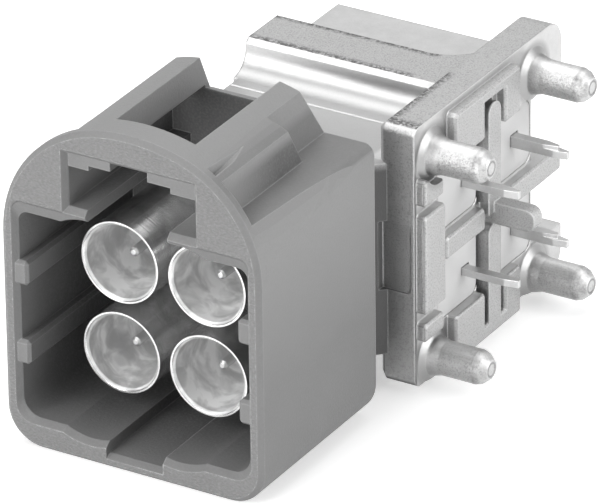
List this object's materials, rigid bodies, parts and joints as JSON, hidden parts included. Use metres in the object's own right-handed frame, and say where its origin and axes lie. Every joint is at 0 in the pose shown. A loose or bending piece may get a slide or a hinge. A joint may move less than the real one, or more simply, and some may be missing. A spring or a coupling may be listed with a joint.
{
  "type": "right-angle pcb connector",
  "caption": "Right-angle coaxial connector for a circuit board: arched plastic shroud with a latch window, bright port tubes, and a cast metal body with solder posts.",
  "frame": {"origin": "centre of the four board posts, in the plane where the casting sits on the board", "axes": "+X out of the board side along the posts, -Y the mating direction of the ports, +Z towards the latch window"},
  "size_m": [0.0172, 0.0267, 0.0171],
  "materials": {
    "shroud_plastic": "grey moulded, finely grained front",
    "cast_zinc": "pale grey zinc casting, grainy",
    "cover_metal": "smooth pale metal",
    "contact_tube": "bright plated",
    "contact_pin": "plated, satin",
    "insulator": "smooth pale"
  },
  "bodies": {
    "root": {"plug_shroud": "shroud_plastic", "shield_body": "cast_zinc", "rear_cover": "cover_metal", "outer_contact_1": "contact_tube", "outer_contact_2": "contact_tube", "outer_contact_3": "contact_tube", "outer_contact_4": "contact_tube", "inner_contact_1": "contact_pin", "inner_contact_2": "contact_pin", "inner_contact_3": "contact_pin", "inner_contact_4": "contact_pin", "front_insulator_1": "insulator", "front_insulator_2": "insulator", "front_insulator_3": "insulator", "front_insulator_4": "insulator", "tail_insulator_1": "insulator", "tail_insulator_2": "insulator", "tail_insulator_3": "insulator", "tail_insulator_4": "insulator"}
  },
  "joints": []
}
